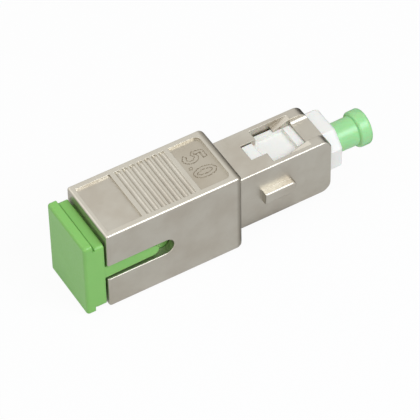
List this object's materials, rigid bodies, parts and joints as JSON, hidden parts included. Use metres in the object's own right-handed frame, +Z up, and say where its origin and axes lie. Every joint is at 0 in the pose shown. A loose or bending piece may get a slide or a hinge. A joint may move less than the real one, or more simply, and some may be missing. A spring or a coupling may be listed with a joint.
{
  "type": "fibre optic attenuator",
  "caption": "Metal-bodied inline fibre attenuator: a square push-pull plug at one end, a matching socket at the other, ribbed grips and a dust cap on each end.",
  "frame": {"origin": "on the face the attenuator rests on, under the middle of its bounding box with both dust caps on", "axes": "+X along the optical axis from the socket to the plug, +Y away from the key and the key slot, +Z up through the ribbed grips and the latch windows"},
  "size_m": [0.0432, 0.0098, 0.013],
  "materials": {
    "nickel_plate": "satin nickel plate on a zinc casting",
    "white_polymer": "moulded, fine satin",
    "green_polymer": "moulded, satin",
    "pale_green_polymer": "moulded, slightly translucent",
    "zirconia": "ground and polished ceramic",
    "stainless_steel": "drawn or turned, bright",
    "silica": "polished at both ends"
  },
  "bodies": {
    "housing": {"metal_housing": "nickel_plate"},
    "core": {"plug_frame": "white_polymer", "spring_bush": "white_polymer", "split_sleeve": "zirconia", "port_latch": "white_polymer", "ferrule_spring": "stainless_steel"},
    "ferrule": {"ferrule": "zirconia", "ferrule_collar": "stainless_steel", "attenuating_fibre": "silica"},
    "port_cap": {"port_dust_cap": "green_polymer"},
    "ferrule_cap": {"ferrule_dust_cap": "pale_green_polymer"}
  },
  "joints": [
    {"name": "core_slide", "type": "slide", "parent": "housing", "child": "core", "axis": [1, 0, 0], "range_m": [0, 0.0012]},
    {"name": "ferrule_float", "type": "slide", "parent": "core", "child": "ferrule", "axis": [-1, 0, 0], "range_m": [0, 0.0008], "stiffness_N_per_m": 1200, "deforming": ["ferrule_spring"]},
    {"name": "port_cap_pull", "type": "slide", "parent": "housing", "child": "port_cap", "axis": [-1, 0, 0], "range_m": [0, 0.012]},
    {"name": "ferrule_cap_pull", "type": "slide", "parent": "ferrule", "child": "ferrule_cap", "axis": [1, 0, 0], "range_m": [0, 0.009]}
  ]
}
